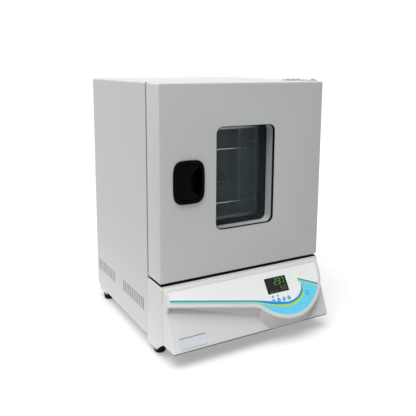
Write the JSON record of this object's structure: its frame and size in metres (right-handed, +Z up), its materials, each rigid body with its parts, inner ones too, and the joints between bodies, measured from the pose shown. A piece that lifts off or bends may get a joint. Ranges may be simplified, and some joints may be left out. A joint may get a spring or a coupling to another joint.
{
  "type": "bench-top laboratory oven",
  "caption": "Bench-top laboratory oven: side-hinged door with a deep window and paddle latch, wire shelves, rear fan, and a sloped control console that swells into a bulge.",
  "frame": {"origin": "on the surface the feet stand on, under the middle of the whole object's box", "axes": "+Z up, -Y out of the door and the console, +X to the right when facing the door"},
  "size_m": [0.45, 0.5142, 0.6329],
  "materials": {
    "paint_white": "fine-textured powder coat, white",
    "paint_base": "fine-textured powder coat, bright white",
    "paint_door": "fine-textured powder coat, light grey-white",
    "plastic_white": "moulded, satin white",
    "overlay": "printed polyester film, satin",
    "black_gloss": "gloss black",
    "black_plastic": "matt black",
    "circuit_board": "green solder mask",
    "led_yellow": "clear yellow lens",
    "key_white": "satin white with a printed blue symbol",
    "key_blue": "satin blue",
    "steel_black": "black-coated steel",
    "plate_silver": "satin anodised, bare",
    "stainless": "brushed stainless",
    "zinc_steel": "zinc-plated sheet and wire",
    "motor_grey": "grey motor can",
    "mineral_wool": "loose mineral wool",
    "tinted_glass": "dark tinted, polished",
    "rubber_black": "matt black rubber",
    "silicone_brown": "red-brown silicone"
  },
  "bodies": {
    "cabinet": {"outer_casing": "paint_white", "base_front_frame": "paint_base", "front_frame": "paint_white", "back_cover": "paint_white", "hinge_bracket_upper": "paint_white", "console_cowl": "plastic_white", "hinge_washer": "plastic_white", "control_overlay": "overlay", "display_window": "black_gloss", "display_module": "black_plastic", "control_board": "circuit_board", "power_board": "circuit_board", "status_led": "led_yellow", "blank_plate": "plate_silver", "chamber_liner": "stainless", "air_duct": "stainless", "shelf_ladder_left": "stainless", "shelf_ladder_right": "stainless", "shelf_lower": "stainless", "shelf_upper": "stainless", "temperature_probe": "stainless", "insulation_jacket": "mineral_wool", "chamber_deck": "zinc_steel", "rear_bulkhead": "zinc_steel", "base_tray": "zinc_steel", "heater_element": "zinc_steel", "latch_keeper": "zinc_steel", "hinge_bracket_lower": "steel_black", "hinge_pin_upper": "zinc_steel", "hinge_pin_lower": "zinc_steel", "fan_motor": "motor_grey", "foot_front_left": "rubber_black", "foot_front_right": "rubber_black", "foot_rear_left": "rubber_black", "foot_rear_right": "rubber_black", "mains_inlet": "black_plastic"},
    "door": {"door_shell": "paint_door", "window_reveal": "paint_door", "door_inner_panel": "stainless", "door_insulation": "mineral_wool", "door_gasket": "silicone_brown", "window_trim": "rubber_black", "window_spacer": "rubber_black", "window_pane_outer": "tinted_glass", "window_pane_inner": "tinted_glass", "handle_tub": "black_gloss", "handle_pin": "zinc_steel", "hinge_bush_upper": "black_plastic", "hinge_bush_lower": "black_plastic"},
    "paddle": {"handle_paddle": "black_gloss"},
    "tongue": {"latch_tongue": "zinc_steel"},
    "fan": {"fan_impeller": "zinc_steel"},
    "menu_key": {"key_menu": "key_white"},
    "down_key": {"key_down": "key_white"},
    "up_key": {"key_up": "key_white"},
    "start_key": {"key_start": "key_white"},
    "power_key": {"key_power": "key_blue"}
  },
  "joints": [
    {"name": "door_hinge", "type": "hinge", "parent": "cabinet", "child": "door", "pos_m": [0.211, -0.15574, 0.404], "axis": [0, 0, 1], "range_deg": [0, 110]},
    {"name": "paddle_pivot", "type": "hinge", "parent": "door", "child": "paddle", "pos_m": [-0.1773, -0.17674, 0.408], "axis": [0, 0, -1], "range_deg": [0, 18], "stiffness_Nm_per_rad": 0.4},
    {"name": "tongue_slide", "type": "slide", "parent": "door", "child": "tongue", "axis": [1, 0, 0], "range_m": [0, 0.0076]},
    {"name": "fan_spin", "type": "hinge", "parent": "cabinet", "child": "fan", "pos_m": [0, 0.18, 0.403], "axis": [0, 1, 0], "continuous": true},
    {"name": "menu_key_press", "type": "slide", "parent": "cabinet", "child": "menu_key", "axis": [0, 0.8231, -0.5678], "range_m": [0, 0.001], "stiffness_N_per_m": 400},
    {"name": "down_key_press", "type": "slide", "parent": "cabinet", "child": "down_key", "axis": [0, 0.8231, -0.5678], "range_m": [0, 0.001], "stiffness_N_per_m": 400},
    {"name": "up_key_press", "type": "slide", "parent": "cabinet", "child": "up_key", "axis": [0, 0.8231, -0.5678], "range_m": [0, 0.001], "stiffness_N_per_m": 400},
    {"name": "start_key_press", "type": "slide", "parent": "cabinet", "child": "start_key", "axis": [0, 0.8231, -0.5678], "range_m": [0, 0.001], "stiffness_N_per_m": 400},
    {"name": "power_key_press", "type": "slide", "parent": "cabinet", "child": "power_key", "axis": [0, 0.8231, -0.5678], "range_m": [0, 0.001], "stiffness_N_per_m": 400}
  ],
  "couplings": [
    {"joint": "tongue_slide", "follows": "paddle_pivot", "m_per_rad": 0.0234}
  ]
}
